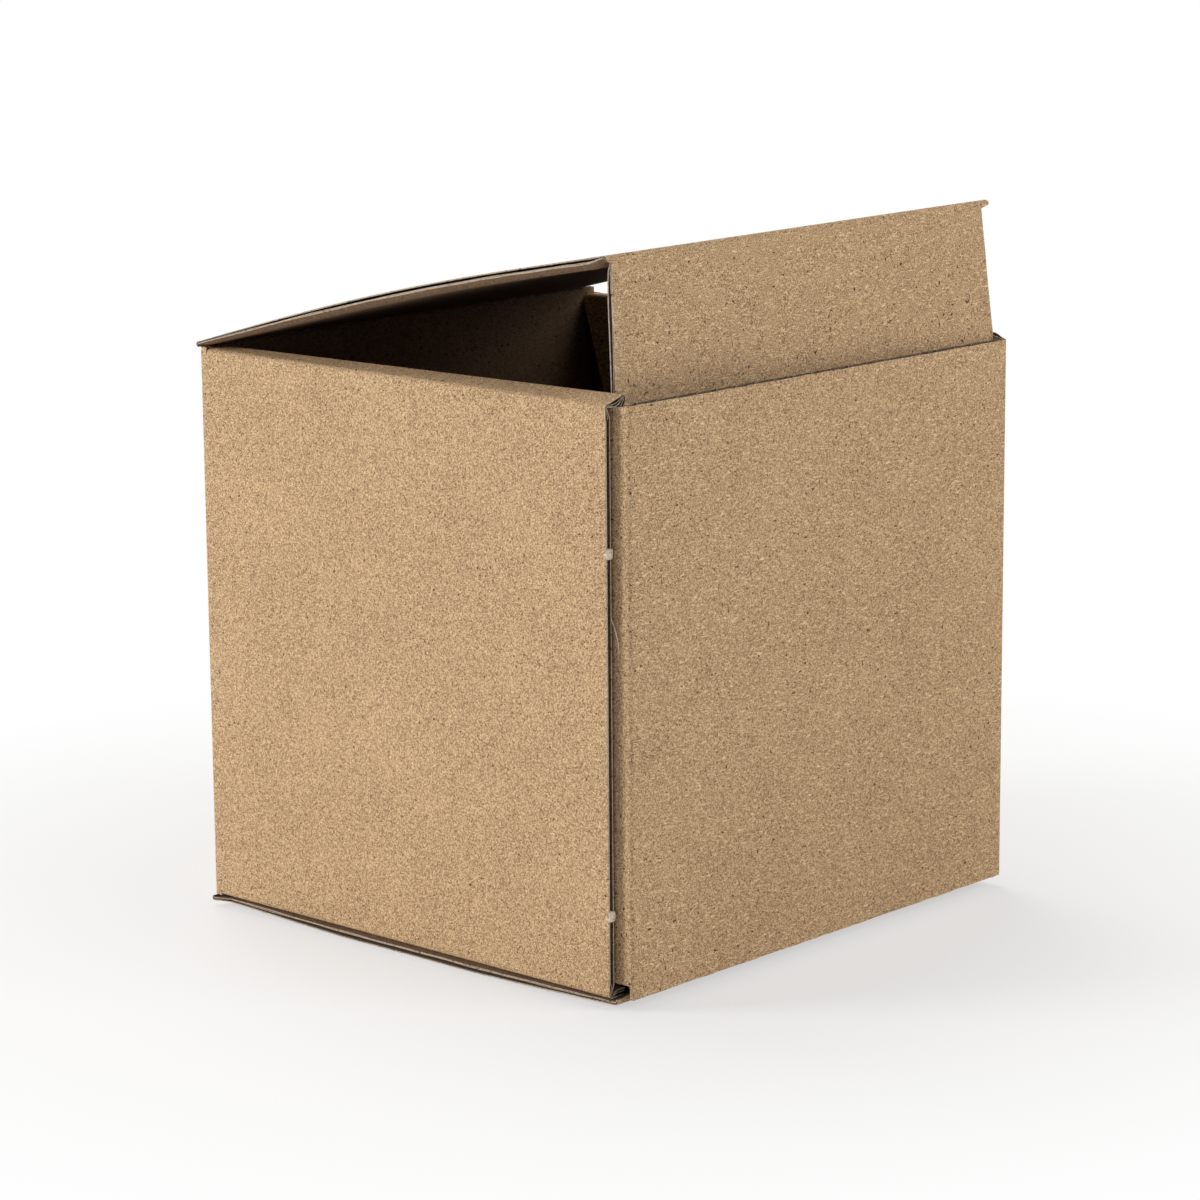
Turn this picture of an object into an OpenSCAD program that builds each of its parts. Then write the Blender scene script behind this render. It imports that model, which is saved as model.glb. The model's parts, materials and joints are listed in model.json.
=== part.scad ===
// Tuck-top shipping carton folded from one sheet of corrugated board.
// The origin is at the middle of the footprint, on the surface that the carton stands on.
// +Z is up, the front wall faces -Y and the glued seam is at the front left corner.

/* [Carton] */
// Width over the two side walls
box_w = 132; // [100:1:180]
// Depth over the front and back walls
box_d = 128.5; // [100:0.5:180]
// Height of the wall tops above the surface that the carton stands on
wall_top = 130; // [100:1:180]

/* [Board] */
// Thickness of the corrugated board
board_t = 2.5; // [2:0.1:3]
// Thickness that the board is crushed to along the crease of a lid
crush_t = 1.2; // [1:0.1:1.6]
// Radius on the inside of a folded corner
fold_r = 0.5; // [0.3:0.1:1]
// Clearance between a moving flap and the walls beside it
flap_gap = 0.3; // [0.2:0.05:0.5]
// Clearance along a hinge crease
crease_gap = 0.25; // [0.2:0.05:0.4]

/* [Seam] */
// Length of the glue flap behind the left wall
glue_flap = 30; // [20:1:40]
// Distance from the front of the carton to the raw edge of the left wall
seam_set = 4.5; // [4.2:0.1:7]
// How far the glue flap stops short of the wall's lower edge
glue_cut = 3; // [1:0.5:8]
// Height of a torn nick on the raw edge of the seam
nick_h = 2.2; // [1:0.1:4]
// Height of the lower nick above the ground
nick_low = 20.9; // [10:0.1:40]
// Distance from the wall tops down to the upper nick
nick_drop = 30.8; // [10:0.1:45]

/* [Side flaps] */
// How far the fold at the top of a side wall reaches inwards
roll_w = 5.3; // [5.2:0.1:7]
// Height of that fold above the wall tops, at the front
roll_rise = 2.4; // [1:0.1:2.6]
// Height of that fold above the wall tops at the back, beside the lid's crease
roll_back = 0.9; // [0.5:0.1:1]
// Length of a side flap from its fold to its free edge
dust_len = 50; // [30:1:60]
// Lean of an upper side flap from upright
dust_lean = 4; // [2:0.5:6]
// Taper of a side flap's front and back edges
dust_taper = 20; // [15:1:30]
// Distance from the front of the carton to the side flaps' front edges
dust_front = 5.2; // [5:0.1:8]
// Clearance between the tuck flap and the cut-back front edge of the upper right side flap
notch_gap = 5.5; // [5.4:0.1:8]
// Distance from the back of the carton to the side flaps' back edges
dust_back = 5; // [4:0.5:10]

/* [Lid] */
// Angle at which the lid stands ajar
lid_ajar = 13.4; // [10:0.1:16]
// Upward bow of the lid
lid_bow = 2; // [0:0.1:3]
// How far each side edge of a lid stays inside the wall's outer face
lid_inset = 1.2; // [0.5:0.1:3]
// Height of the lid's crease above the wall tops
lid_seat = 1.7; // [1.5:0.1:2.5]
// Outer radius of the crease between the lid and its tuck flap
lid_crease = 1.8; // [1.2:0.1:2.5]
// Length of the tuck flap
tuck_len = 39; // [34:0.5:45]
// Clearance between the tuck flap's left edge and the fold beside it
tuck_gap = 1.2; // [1:0.1:4]
// Radius of the tuck flaps' free corners
tuck_r = 10; // [5:0.5:14]

/* [Bottom] */
// Length of the bottom tuck flap
bottom_tuck = 30; // [20:0.5:34]
// Inward lean of the bottom tuck flap, which lets it swing out past the front wall
bottom_lean = 8; // [7.5:0.5:12]

/* [Hidden] */
kraft = [0.68, 0.53, 0.38];
ease = 0.05;

hinge_r = crush_t / 2;
bottom_sag = board_t - crush_t;
wall_foot = board_t + crease_gap;
tuck_slot = board_t + flap_gap;
left_x = -box_w / 2;
right_x = box_w / 2;
front_y = -box_d / 2;
back_y = box_d / 2;
bend_r = fold_r + board_t / 2;

top_hinge = [0, back_y - hinge_r, wall_top + lid_seat];
bottom_hinge = [0, back_y - hinge_r, bottom_sag + hinge_r];
roll_overlap = 4;
taper_step = 8;
bend_steps = 6;
bow_steps = 18;
crease_steps = 8;
belly = 0.87;

// A folded sheet is a list of runs [length, turn]: straight on, then a bend through that angle.
// Its path holds [x, y, heading] for points along the middle of the board.
function bend(p, turn) =
    let (side = sign(turn), n = bend_steps)
    let (c = [p[0] - side * bend_r * sin(p[2]), p[1] + side * bend_r * cos(p[2])])
    [for (i = [1:n]) let (a = p[2] + turn * i / n) [c[0] + side * bend_r * sin(a), c[1] - side * bend_r * cos(a), a]];
function ahead(p, len) = [p[0] + len * cos(p[2]), p[1] + len * sin(p[2]), p[2]];
function fold_path(p, runs, i = 0) =
    i == len(runs) ? [p] :
    let (q = ahead(p, runs[i][0]))
    runs[i][1] == 0 ? concat([p], fold_path(q, runs, i + 1)) :
    let (arc = bend(q, runs[i][1]), m = len(arc))
    concat([p, q], [for (k = [0:1:m - 2]) arc[k]], fold_path(arc[m - 1], runs, i + 1));
function board_outline(path) = concat(
    [for (p = path) [p[0] - board_t / 2 * sin(p[2]), p[1] + board_t / 2 * cos(p[2])]],
    [for (i = [len(path) - 1:-1:0]) let (p = path[i]) [p[0] + board_t / 2 * sin(p[2]), p[1] - board_t / 2 * cos(p[2])]]
);

// Plan of the walls: the glue flap, then front, right, back and left, wound from the seam.
module wall_plan() {
    corner = bend_r + board_t / 2;
    stub = 0.2;
    front_run = box_w - board_t - 2 * corner;
    side_run = box_d - 2 * corner;
    back_run = box_w - 2 * corner;
    start = [left_x + board_t * 1.5, front_y + corner + stub, -90];
    runs = [[stub, 90], [front_run, 90], [side_run, 90], [back_run, 90], [box_d - corner - seam_set, 0]];
    polygon(board_outline(fold_path(start, runs)));
    translate([left_x + board_t, front_y + corner]) square([board_t, glue_flap]);
}

// Nicks that the sheet was torn from its frame by, on the raw edge of the left wall.
module seam_nicks() {
    for (z = [nick_low, wall_top - nick_drop])
        translate([left_x, front_y + seam_set - board_t / 5, z - nick_h / 2])
            cube([board_t, board_t / 5 + ease, nick_h]);
}

module walls() {
    difference() {
        translate([0, 0, wall_foot]) linear_extrude(wall_top - wall_foot) wall_plan();
        // The glue flap stops short of the lower edge
        translate([left_x + board_t, front_y + bend_r + board_t / 2, wall_foot - ease])
            cube([board_t + ease, glue_flap + 1, glue_cut + ease]);
    }
    // The back wall runs up to the lid's crease
    translate([left_x + lid_inset, back_y - board_t, wall_top - 1])
        cube([box_w - 2 * lid_inset, board_t, lid_seat - hinge_r - crease_gap + 1]);
    seam_nicks();
}

// Section of an upper side flap: up the wall, over the fold and down inside.
function roll_section(rise) =
    let (slope = atan(rise / roll_w), over = roll_w - 2 * bend_r)
    let (top = wall_top + rise - over * sin(slope) - bend_r - board_t / 2)
    let (start = [board_t / 2, top - roll_overlap, 90])
    board_outline(fold_path(start, [
        [roll_overlap, slope - 90], [over, dust_lean - 90 - slope], [dust_len, 0]
    ]));

// A side flap lofted from its section at the front to its section at the back. Its outline is given
// by how far each fold line is cut back at the front, and the free edge is set in at both ends.
module lofted_flap(front, back, y0, y1, notch, inset) {
    n = len(front);
    free = n / 2 - 1;
    fold = bend_steps + 1;
    function line(i) = min(i, n - 1 - i);
    function cut(k) = notch * min(1, max(0, k - 1) / fold) + (k == free ? inset : 0);
    points = concat(
        [for (i = [0:n - 1]) [front[i][0], y0 + cut(line(i)), front[i][1]]],
        [for (i = [0:n - 1]) [back[i][0], y1 - (line(i) == free ? inset : 0), back[i][1]]]
    );
    sides = [for (i = [0:n - 1]) let (j = (i + 1) % n) each [[j, i, n + j], [n + j, i, n + i]]];
    // Each end is a strip of triangles across the board
    front_end = [for (i = [0:free - 1]) let (a = n - 1 - i) each [[i, i + 1, a - 1], [i, a - 1, a]]];
    back_end = [for (i = [0:free - 1]) let (a = 2 * n - 1 - i) each [[n + i + 1, n + i, a - 1], [a - 1, n + i, a]]];
    polyhedron(points, concat(sides, front_end, back_end));
}

module upper_side_flap(notch) {
    translate([left_x, 0, 0]) lofted_flap(
        roll_section(roll_rise), roll_section(roll_back),
        front_y + dust_front, back_y - dust_back, notch, dust_len * tan(dust_taper)
    );
}

// A lower side flap is turned in through a right angle under the wall.
module lower_side_flap() {
    start = [board_t / 2, wall_foot + bend_r + board_t / 2 + roll_overlap, -90];
    inset = dust_len * tan(dust_taper);
    corner = board_t + fold_r;
    a = front_y + dust_front;
    b = back_y - dust_back;
    intersection() {
        translate([left_x, b, 0]) rotate([90, 0, 0]) linear_extrude(b - a)
            polygon(board_outline(fold_path(start, [[roll_overlap, 90], [dust_len, 0]])));
        translate([left_x, 0, 0]) linear_extrude(wall_top) polygon([
            [-1, a], [board_t, a], [board_t + taper_step, a + taper_step], [corner + dust_len, a + inset],
            [corner + dust_len, b - inset], [corner, b], [-1, b]
        ]);
    }
}

module box_body() {
    color(kraft) {
        walls();
        upper_side_flap(0);
        mirror([1, 0, 0]) upper_side_flap(tuck_slot + board_t + notch_gap - dust_front);
        lower_side_flap();
        mirror([1, 0, 0]) lower_side_flap();
    }
}

// Distance from a lid's hinge to the inside of its front crease.
function panel_len(crease) = box_d - hinge_r - tuck_slot - crease;

// A polygon without the points that lie on its straight edges.
function cornered(p) =
    let (n = len(p))
    [for (i = [0:n - 1]) if (abs(cross(p[i] - p[(i + n - 1) % n], p[(i + 1) % n] - p[i])) > 1e-6) p[i]];

// The point where the line through p along d meets the line from a to b.
function meet(a, b, p, d) = a + (b - a) * cross(p - a, d) / cross(b - a, d);

// A bow rises and falls as a sine, and is flat between the two knees where its belly is cut off.
function bow_angles(flat) =
    let (knee = asin(flat), n = bow_steps / 2)
    concat([for (i = [0:n]) knee * i / n], [for (i = [flat < 1 ? n : n - 1:-1:0]) 180 - knee * i / n]);

// Section of a lid, drawn flat with its outer face up. The bowed panel runs from the hinge at the origin
// to its front crease and is crushed thin at both of them. There the tuck flap is turned down, and leans
// inwards from square.
function lid_section(bow, crease, flat, lean, flap) =
    let (run = panel_len(crease), angles = bow_angles(flat), n = len(angles))
    let (outer = [for (a = angles) [-run * a / 180, hinge_r + bow * sin(a) / flat]])
    let (ends = [for (a = angles) crush_t + (crease - crush_t) * a / 180])
    let (inner = [for (i = [0:n - 1]) outer[i] - [0, ends[i] + (board_t - ends[i]) * sin(angles[i]) / flat]])
    let (fold = inner[n - 1], down = [sin(lean), -cos(lean)], across = [cos(lean), sin(lean)])
    let (arc = [for (i = [1:crease_steps]) let (a = 90 + (90 + lean) * i / crease_steps) crease * [cos(a), sin(a)]])
    let (root = [fold - crease * across, fold + (board_t - crease) * across])
    cornered(concat(
        outer, [for (p = arc) fold + p],
        [root[0] + flap * down, root[1] + flap * down, meet(inner[n - 2], fold, root[1], down)],
        [for (i = [n - 2:-1:0]) inner[i]]
    ));

// What is cut from the left side of a tuck flap: its edge is at x = 0, and its free corner is round.
module tuck_trim(flap) {
    difference() {
        translate([-box_w / 4, -flap - 1]) square([box_w / 4 + tuck_r, flap + 1 + ease]);
        translate([0, tuck_r - flap - ease]) square([tuck_r + 1, flap]);
        translate([tuck_r, tuck_r - flap - ease]) circle(r = tuck_r, $fn = 48);
    }
}

// A lid, with its tuck flap between left and right.
module folded_lid(bow, crease, flat, lean, left, right, flap) {
    wide = box_w - 2 * lid_inset;
    difference() {
        translate([-wide / 2, 0, 0]) {
            rotate([0, 90, 0]) cylinder(h = wide, r = hinge_r, $fn = 32);
            rotate([90, 0, 90]) linear_extrude(wide) polygon(lid_section(bow, crease, flat, lean, flap));
        }
        translate([0, -panel_len(crease), hinge_r - crease]) rotate([90 + lean, 0, 0])
            translate([0, 0, crease - board_t - ease]) linear_extrude(board_t + 1) {
                translate([left, 0]) tuck_trim(flap);
                translate([right, 0]) mirror([1, 0]) tuck_trim(flap);
            }
    }
}

module lid() {
    left = left_x + board_t + roll_w + tuck_gap;
    color(kraft) translate(top_hinge) rotate([-lid_ajar, 0, 0])
        folded_lid(lid_bow, lid_crease, 1, lid_ajar, left, right_x - tuck_slot, tuck_len);
}

module bottom_lid() {
    edge = 2 * board_t + fold_r + flap_gap;
    color(kraft) translate(bottom_hinge) mirror([0, 0, 1])
        folded_lid(bottom_sag, crush_t, belly, bottom_lean, left_x + edge, right_x - edge, bottom_tuck);
}

box_body();
lid();
bottom_lid();
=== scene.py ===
"""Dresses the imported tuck-top carton in corrugated board: liners, flutes, raw edges and torn nicks."""

import json
import logging
import math
from collections.abc import Sequence
from dataclasses import dataclass
from enum import IntEnum

import bpy
import numpy as np
from mathutils import Matrix

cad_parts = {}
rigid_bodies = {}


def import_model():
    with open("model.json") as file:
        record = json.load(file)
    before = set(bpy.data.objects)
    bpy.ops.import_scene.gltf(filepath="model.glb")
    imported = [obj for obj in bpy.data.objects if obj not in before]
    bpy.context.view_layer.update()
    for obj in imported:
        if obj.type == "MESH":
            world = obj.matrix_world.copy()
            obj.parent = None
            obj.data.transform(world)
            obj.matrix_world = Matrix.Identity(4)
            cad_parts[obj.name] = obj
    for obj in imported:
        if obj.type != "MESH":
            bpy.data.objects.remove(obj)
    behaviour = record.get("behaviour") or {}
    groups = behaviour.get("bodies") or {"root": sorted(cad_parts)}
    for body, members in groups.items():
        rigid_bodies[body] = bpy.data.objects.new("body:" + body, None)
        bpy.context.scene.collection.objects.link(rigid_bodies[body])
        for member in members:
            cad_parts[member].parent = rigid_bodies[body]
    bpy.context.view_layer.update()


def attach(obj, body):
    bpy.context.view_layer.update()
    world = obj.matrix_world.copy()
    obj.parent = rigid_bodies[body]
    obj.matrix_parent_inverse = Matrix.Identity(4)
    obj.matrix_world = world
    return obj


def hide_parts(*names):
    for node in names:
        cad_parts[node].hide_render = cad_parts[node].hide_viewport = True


for stray in list(bpy.data.objects):
    bpy.data.objects.remove(stray)
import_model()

log = logging.getLogger("carton")

MM = 0.001
Point = tuple[float, float]
Fold = tuple[float, float, float]
Finishes = Sequence[bpy.types.Material]
CHART = "board"


class Ply(IntEnum):
    """Material slots of a piece of board."""

    OUTER = 0
    INNER = 1
    FLUTES = 2
    RAW = 3
    TORN = 4


@dataclass(frozen=True)
class Board:
    """Single-wall corrugated board, in millimetres.

    Attributes:
        thick: Thickness of the whole board.
        liner: Thickness of a liner.
        medium: Thickness of the fluted paper.
        pitch: Length of a flute.
        crushed: Thickness at the hinge of a lid.
        fold: Radius on the inside of a folded corner.
        crease: Radius on the outside of a crease.
        creased: Thickness at a crease.
        raw_edge: Thickness at a raw edge that is crushed.
        crush_reach: Distance from that edge at which the board is whole.
        ragged: How far the edges of the outer liner, the inner liner and the flutes stray.
    """

    thick: float = 2.5
    liner: float = 0.28
    medium: float = 0.2
    pitch: float = 6.3
    crushed: float = 1.2
    fold: float = 0.5
    crease: float = 1.1
    creased: float = 0.9
    raw_edge: float = 1.65
    crush_reach: float = 4.0
    ragged: tuple[float, float, float] = (0.08, 0.12, 0.15)


@dataclass(frozen=True)
class Carton:
    """Driving sizes of the carton, in millimetres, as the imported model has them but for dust_back."""

    width: float = 132.0
    depth: float = 128.5
    wall_top: float = 130.0
    flap_gap: float = 0.3
    crease_gap: float = 0.25
    glue_flap: float = 30.0
    glue_cut: float = 3.0
    seam_set: float = 4.5
    nick_height: float = 2.2
    nick_levels: tuple[float, float] = (20.9, 99.2)
    dust_length: float = 50.0
    dust_lean: float = 4.0
    dust_taper: float = 20.0
    dust_right: float = 6.4
    taper_step: float = 8.0
    dust_back: float = 2.4
    notch_gap: float = 5.5
    lid_ajar: float = 13.4
    lid_bow: float = 2.0
    lid_inset: float = 1.2
    lid_seat: float = 1.7
    lid_crease: float = 1.0
    tuck_length: float = 39.0
    tuck_left: float = 7.7
    tuck_round: float = 10.0
    bottom_tuck: float = 30.0
    bottom_lean: float = 8.0
    belly: float = 0.87

    @property
    def left(self) -> float:
        """Outer face of the left wall."""
        return -self.width / 2

    @property
    def front(self) -> float:
        """Outer face of the front wall."""
        return -self.depth / 2

    @property
    def back(self) -> float:
        """Outer face of the back wall."""
        return self.depth / 2


@dataclass(frozen=True)
class AsFound:
    """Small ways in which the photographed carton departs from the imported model, in millimetres.

    Attributes:
        front_top: How much higher the front wall's top is, left and right.
        right_rise: How far the right wall's edge climbs from the front corner to its flap.
        corner_top: How much higher the back corners are, left and right.
        left_fold: Front and back end of the upper left flap's fold: height of the outer crease over the wall
            tops, distance of the second crease from the wall's outer face, and its height over the wall tops.
        right_fold: The same of the upper right flap.
        right_sag: How far the upper right flap sinks towards its back edge.
        lid_turn: How far to the right the lid lies, at its hinge and at its front crease.
        crease_back: How far to the back the lid's front crease lies, left and right.
        foot_back: How far to the back the foot of its tuck flap lies, left and right.
        tuck_wide: How much wider the lid's tuck flap is at its crease, on the left.
        tuck_ear: How much wider it is at its shoulder, on the right.
        flare: How far the ends of the bottom lid's hinge crease are pressed out.
        flare_reach: Distance from the hinge at which the flare has faded.
    """

    front_top: tuple[float, float] = (0.5, -0.45)
    right_rise: float = 1.4
    corner_top: tuple[float, float] = (1.05, -0.5)
    left_fold: tuple[Fold, Fold] = ((0.5, 6.5, 2.6), (0.7, 6.3, 0.95))
    right_fold: tuple[Fold, Fold] = ((1.1, 6.5, 3.2), (1.12, 6.3, 1.25))
    right_sag: float = 1.6
    lid_turn: tuple[float, float] = (-2.0, 1.4)
    crease_back: tuple[float, float] = (-0.3, 0.0)
    foot_back: tuple[float, float] = (2.0, -3.5)
    tuck_wide: float = 3.7
    tuck_ear: float = 0.7
    flare: float = 1.9
    flare_reach: float = 5.0


BOARD = Board()
BOX = Carton()
FOUND = AsFound()


def unit(vectors: np.ndarray) -> np.ndarray:
    """Vectors divided by their length; the last axis holds their components."""
    length = np.linalg.norm(vectors, axis=-1, keepdims=True)
    return vectors / np.maximum(length, 1e-9)


def mix(a: np.ndarray | float, b: np.ndarray | float, share: np.ndarray | float) -> np.ndarray | float:
    """Straight mix of a and b: a at share 0, b at share 1."""
    return a + (b - a) * share


def ease(share: np.ndarray) -> np.ndarray:
    """Smooth step from 0 to 1: three squares of the share less two cubes, flat outside 0..1."""
    inside = np.clip(share, 0, 1)
    return inside**2 * (3 - 2 * inside)


def linked(name: str, data: bpy.types.ID) -> bpy.types.Object:
    """A new object in the scene, showing the data."""
    made = bpy.data.objects.new(name, data)
    bpy.context.scene.collection.objects.link(made)
    return made


def smooth_noise(count: int, every: int, seed: int) -> np.ndarray:
    """Seeded values in -1..1 that change smoothly along a line.

    Args:
        count: Number of values.
        every: Values between two random knots, joined by straight runs.
        seed: Start of the random draw.

    Returns:
        One value for each place on the line.
    """
    rng = np.random.default_rng(seed)
    knots = rng.uniform(-1, 1, count // every + 3)
    return np.interp(np.arange(count) / every, np.arange(len(knots)), knots)


class MeshParts:
    """Closed shells of quads, gathered for one mesh."""

    SHARP = 40

    def __init__(self) -> None:
        """Starts with no shell."""
        self.points: list[np.ndarray] = []
        self.quads: list[np.ndarray] = []
        self.plies: list[np.ndarray] = []
        self.charts: list[np.ndarray] = []
        self.count = 0

    def shell(
        self, front: np.ndarray, back: np.ndarray, chart: np.ndarray, plies: tuple[Ply, Ply, Ply]
    ) -> None:
        """Adds the closed shell between two grids of points.

        The quads of the front grid wind so that their normals point away from the back grid, those of the
        back grid wind the other way, and a rim of quads joins the borders of the two.

        Args:
            front: Points (rows, columns, 3) of the face that is seen, in millimetres.
            back: Points of the other face.
            chart: Pattern coordinates (rows, columns, 2) of both faces.
            plies: Plies of the front, the back and the rim.
        """
        rows, cols = front.shape[:2]
        index = np.arange(rows * cols).reshape(rows, cols)
        face = np.stack([index[:-1, :-1], index[:-1, 1:], index[1:, 1:], index[1:, :-1]], -1).reshape(-1, 4)
        border = np.concatenate([index[0, :-1], index[:-1, -1], index[-1, :0:-1], index[:0:-1, 0]])
        following = np.roll(border, -1)
        rim = np.stack([following, border, border + rows * cols, following + rows * cols], -1)
        i, j = rows // 2, cols // 2
        across, down = front[i, j] - front[i, j - 1], front[i, j] - front[i - 1, j]
        if np.dot(np.cross(across, down), front[i, j] - back[i, j]) < 0:
            face, rim = face[:, ::-1], rim[:, ::-1]
        quads = np.concatenate([face, face[:, ::-1] + rows * cols, rim])
        self.points.append(np.concatenate([front.reshape(-1, 3), back.reshape(-1, 3)]))
        self.charts.append(np.concatenate([chart.reshape(-1, 2)] * 2))
        self.quads.append(quads + self.count)
        self.plies.append(np.repeat(plies, [len(face), len(face), len(rim)]))
        self.count += 2 * rows * cols

    def piece(self, name: str, finishes: Finishes) -> bpy.types.Object:
        """Makes the object, in metres at the origin, with its materials in the order of the plies."""
        points = np.concatenate(self.points) * MM
        quads = np.concatenate(self.quads)
        chart = np.concatenate(self.charts)
        mesh = bpy.data.meshes.new(name)
        mesh.vertices.add(len(points))
        mesh.vertices.foreach_set("co", points.astype(np.float32).ravel())
        mesh.loops.add(quads.size)
        mesh.loops.foreach_set("vertex_index", quads.astype(np.int32).ravel())
        mesh.polygons.add(len(quads))
        mesh.polygons.foreach_set("loop_start", np.arange(0, quads.size, 4, dtype=np.int32))
        mesh.polygons.foreach_set("material_index", np.concatenate(self.plies).astype(np.int32))
        mesh.polygons.foreach_set("use_smooth", np.ones(len(quads), bool))
        layer = mesh.uv_layers.new(name=CHART)
        layer.data.foreach_set("uv", chart[quads.ravel()].astype(np.float32).ravel())
        for finish in finishes:
            mesh.materials.append(finish)
        mesh.update(calc_edges=True)
        mesh.validate()
        mesh.set_sharp_from_angle(angle=math.radians(self.SHARP))
        return linked(name, mesh)


class FoldPath:
    """Outer face of a folded board, seen along its folds, and how thick the board is there."""

    ARC_STEPS = 8
    NEAR_CREASE = (0.8, 1.6, 2.4, 3.2)
    RECOVERY = 3.0

    def __init__(self, start: Point, heading: float, runs: Sequence[Point], step: float = 3.0) -> None:
        """Walks the runs: straight on for a length, then round a crease through an angle.

        Args:
            start: First point, in millimetres.
            heading: First direction, in degrees from the first axis.
            runs: Pairs of length and turn; a positive turn is to the left, and the board is on that side.
            step: Longest distance between points on a straight.
        """
        lines, headings, creases = [], [], []
        place, angle, gone = np.array(start, float), math.radians(heading), 0.0
        for length, turn in runs:
            way = np.array([math.cos(angle), math.sin(angle)])
            near = np.minimum(self.NEAR_CREASE, length)
            even = np.linspace(0, length, math.ceil(length / step) + 1)
            steps = np.unique(np.round(np.concatenate([[0, length], even, near, length - near]), 6))
            lines.append(place + steps[:, None] * way)
            headings.append(np.full(len(steps), angle))
            place, gone = place + length * way, gone + length
            if turn:
                side = math.copysign(BOARD.crease, turn)
                centre = place + side * np.array([-way[1], way[0]])
                round_it = angle + math.radians(turn) * np.arange(1, self.ARC_STEPS + 1) / self.ARC_STEPS
                lines.append(centre + side * np.stack([np.sin(round_it), -np.cos(round_it)], -1))
                headings.append(round_it)
                arc = BOARD.crease * abs(math.radians(turn))
                creases.append(gone + arc / 2)
                place, angle, gone = lines[-1][-1], round_it[-1], gone + arc
                self.side = math.copysign(1.0, turn)
        line, heading_all = np.concatenate(lines), np.concatenate(headings)
        keep = np.concatenate([[True], np.linalg.norm(np.diff(line, axis=0), axis=1) > 1e-6])
        self.outer, self.heading = line[keep], heading_all[keep]
        self.run = np.concatenate([[0], np.cumsum(np.linalg.norm(np.diff(self.outer, axis=0), axis=1))])
        self.creases = np.array(creases)

    def thick(self, run: np.ndarray) -> np.ndarray:
        """Thickness of the board: pinched at every crease, and eased back to whole over the recovery."""
        away = np.abs(run[:, None] - self.creases).min(axis=1)
        return mix(BOARD.creased, BOARD.thick, ease(away / self.RECOVERY))

    def inner(self) -> np.ndarray:
        """Points of the inner face, one for each point of the outer face."""
        normal = self.side * np.stack([-np.sin(self.heading), np.cos(self.heading)], -1)
        return self.outer + normal * self.thick(self.run)[:, None]


@dataclass
class Sheet:
    """A piece of board between an outer and an inner grid of points, in millimetres.

    Rows run along the flutes and columns across them. The flutes are a sine of the column's place
    divided by the pitch, as high as the space between the liners.
    """

    outer: np.ndarray
    inner: np.ndarray
    across: np.ndarray
    along: np.ndarray
    loose: np.ndarray | float = 1.0

    def chart(self) -> np.ndarray:
        """Pattern coordinates in flutes: across and along them."""
        return np.stack(np.broadcast_arrays(self.across, self.along), -1) / BOARD.pitch

    def ragged(self, grid: np.ndarray, seed: int, depth: float) -> np.ndarray:
        """Moves the borders of a grid in and out, as a die leaves them.

        Each border point moves along the line to its neighbour, by a smooth random length up to the depth
        times how loose the board is there.

        Args:
            grid: Points (rows, columns, 3) in millimetres.
            seed: Start of the random draw.
            depth: Longest move.

        Returns:
            The moved grid.
        """
        moved = grid.copy()
        rows, cols = grid.shape[:2]
        depths = np.broadcast_to(depth * np.asarray(self.loose, float), (rows, cols))[..., None]
        for k, (edge, near) in enumerate(((0, 1), (-1, -2))):
            inward = unit(grid[:, near] - grid[:, edge])
            moved[:, edge] += inward * depths[:, edge] * smooth_noise(rows, 2, seed + k)[:, None]
            inward = unit(grid[near] - grid[edge])
            moved[edge] += inward * depths[edge] * smooth_noise(cols, 2, seed + 2 + k)[:, None]
        return moved


def pinched(
    outer: np.ndarray,
    inner: np.ndarray,
    away: np.ndarray,
    left: np.ndarray | float,
    reach: np.ndarray | float = BOARD.crush_reach,
) -> np.ndarray:
    """Inner face of a board that is crushed along a raw edge.

    Args:
        outer: Points of the outer face.
        inner: Points of the inner face.
        away: Distance of each point from the raw edge, in millimetres.
        left: Share of the thickness that is left at the edge.
        reach: Distance from the edge at which the board is whole again.

    Returns:
        The moved inner face.
    """
    share = mix(left, 1.0, ease(away / reach))
    return outer + (inner - outer) * np.broadcast_to(share, outer.shape[:2])[..., None]


def board_piece(name: str, liners: Sheet, core: Sheet, seed: int, finishes: Finishes) -> bpy.types.Object:
    """Builds a piece of corrugated board: two liners and the fluted medium between them.

    Args:
        name: Name of the piece.
        liners: Sheet whose grid the liners follow.
        core: The same sheet on the finer grid that the flutes need.
        seed: Start of the random draw for its edges.
        finishes: Materials in the order of the plies.

    Returns:
        The new object.
    """
    parts = MeshParts()
    gap = liners.inner - liners.outer
    skin = np.minimum(BOARD.liner, np.linalg.norm(gap, axis=-1, keepdims=True) / 4) * unit(gap)
    outer_rag, inner_rag, core_rag = BOARD.ragged
    outer = liners.ragged(liners.outer, seed, outer_rag)
    inner = liners.ragged(liners.inner, seed + 7, inner_rag)
    chart = liners.chart()
    parts.shell(outer, outer + skin, chart, (Ply.OUTER, Ply.FLUTES, Ply.RAW))
    parts.shell(inner, inner - skin, chart, (Ply.INNER, Ply.FLUTES, Ply.RAW))
    gap = core.inner - core.outer
    deep = np.linalg.norm(gap, axis=-1, keepdims=True)
    swing = np.maximum(deep / 2 - np.minimum(BOARD.liner, deep / 4) - BOARD.medium / 2, 0.01)
    wave = np.sin(2 * np.pi * core.chart()[..., :1])
    middle = (core.outer + core.inner) / 2 - unit(gap) * swing * wave
    paper = unit(gap) * np.minimum(BOARD.medium, deep / 8) / 2
    middle = core.ragged(middle, seed + 14, core_rag)
    parts.shell(middle - paper, middle + paper, core.chart(), (Ply.FLUTES, Ply.FLUTES, Ply.RAW))
    return parts.piece(name, finishes)


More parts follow.
